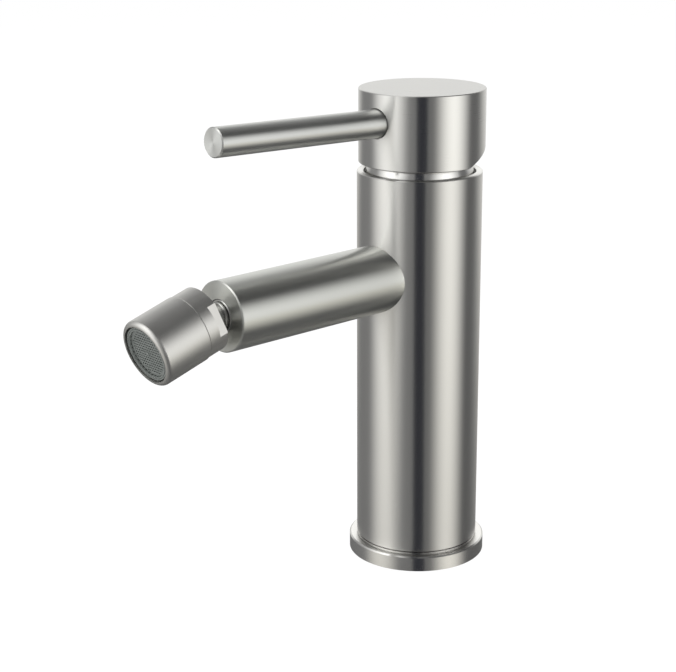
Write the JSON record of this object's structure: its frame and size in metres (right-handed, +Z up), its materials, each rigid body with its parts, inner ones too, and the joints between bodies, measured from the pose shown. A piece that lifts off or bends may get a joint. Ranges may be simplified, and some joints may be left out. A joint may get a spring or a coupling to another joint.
{
  "type": "bidet mixer",
  "caption": "Single-hole bidet mixer with a round body, top lever handle, straight spout and ball-jointed swivel aerator.",
  "frame": {"origin": "centre of the base's underside, on the deck face and on the body's axis", "axes": "+Z up along the body's axis, -Y towards the spout and the lever, +X to the right of someone who faces the back of the spout from behind the body"},
  "size_m": [0.0516, 0.1542, 0.1783],
  "materials": {
    "brushed_steel": "satin brushed stainless steel",
    "polished_steel": "bright turned steel",
    "brass": "machined brass, unplated",
    "steel_fastener": "plain steel",
    "cartridge_plastic": "moulded acetal, off-white",
    "dark_plastic": "moulded acetal, black",
    "ceramic": "lapped alumina ceramic",
    "rubber": "black rubber",
    "aerator_plastic": "moulded plastic, grey-green"
  },
  "bodies": {
    "root": {"base_ring": "brushed_steel", "base_seal": "rubber", "body_sleeve": "brushed_steel", "valve_core": "brass", "foot_o_ring": "rubber", "sleeve_o_ring": "rubber", "spout_tube": "brushed_steel", "spout_seal": "rubber", "ball_stud": "polished_steel", "stud_seal": "rubber", "cartridge_base": "cartridge_plastic", "port_seals": "rubber", "fixed_disc": "ceramic", "cartridge_housing": "cartridge_plastic", "clamp_nut": "brass", "cartridge_cover": "polished_steel"},
    "turret": {"turret": "dark_plastic", "stem_pin": "steel_fastener"},
    "handle": {"handle_cap": "brushed_steel", "lever_rod": "brushed_steel", "cartridge_stem": "steel_fastener", "grub_screw": "steel_fastener"},
    "disc": {"disc_carrier": "dark_plastic", "moving_disc": "ceramic"},
    "neck_ring": {"neck_ring": "polished_steel"},
    "ball_seats": {"rear_seat": "dark_plastic", "front_seat": "dark_plastic"},
    "spray_head": {"swivel_nut": "brushed_steel", "spray_housing": "brushed_steel", "aerator_seal": "rubber", "aerator_insert": "aerator_plastic", "jet_plate": "aerator_plastic", "aerator_grille": "aerator_plastic"}
  },
  "joints": [
    {"name": "handle_turn", "type": "hinge", "parent": "root", "child": "turret", "pos_m": [0, 0, 0.1452], "axis": [0, 0, 1], "range_deg": [-50, 50]},
    {"name": "handle_lift", "type": "hinge", "parent": "turret", "child": "handle", "pos_m": [0, 0, 0.1452], "axis": [-1, 0, 0], "range_deg": [0, 22]},
    {"name": "disc_slide", "type": "slide", "parent": "turret", "child": "disc", "axis": [0, -1, 0], "range_m": [0, 0.00245]},
    {"name": "aerator_swing", "type": "hinge", "parent": "root", "child": "neck_ring", "pos_m": [0, -0.1032, 0.11105], "axis": [0, -1, 0], "continuous": true},
    {"name": "aerator_tilt", "type": "hinge", "parent": "neck_ring", "child": "ball_seats", "pos_m": [0, -0.1032, 0.11105], "axis": [1, 0, 0], "range_deg": [-16.8, 8.2]},
    {"name": "aerator_spin", "type": "hinge", "parent": "ball_seats", "child": "spray_head", "pos_m": [0, -0.1032, 0.11105], "axis": [0, -0.9573, -0.289], "continuous": true}
  ],
  "couplings": [
    {"joint": "disc_slide", "follows": "handle_lift", "m_per_rad": 0.0063}
  ]
}
